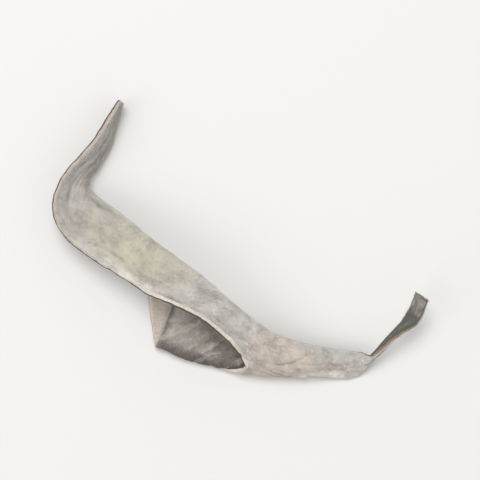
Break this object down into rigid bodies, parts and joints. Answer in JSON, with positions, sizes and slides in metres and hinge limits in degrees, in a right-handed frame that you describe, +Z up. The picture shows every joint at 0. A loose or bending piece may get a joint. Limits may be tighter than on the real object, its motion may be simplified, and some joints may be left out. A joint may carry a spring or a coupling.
{
  "type": "dried wood ear mushroom strip",
  "caption": "Forked strip cut from a dried wood ear mushroom, felted pale on one side and dark on the other, curled and twisted as it dried.",
  "frame": {"origin": "middle of the outline seen from above, on the surface that the strip lies on", "axes": "+X along the strip's longest reach, towards its thin tip, +Y towards the end of the arm, +Z up"},
  "size_m": [0.0224, 0.017, 0.0033],
  "materials": {
    "mushroom": "dry felt on the pale side, satin on the dark side"
  },
  "bodies": {
    "root": {"wood_ear_strip": "mushroom"}
  },
  "joints": []
}
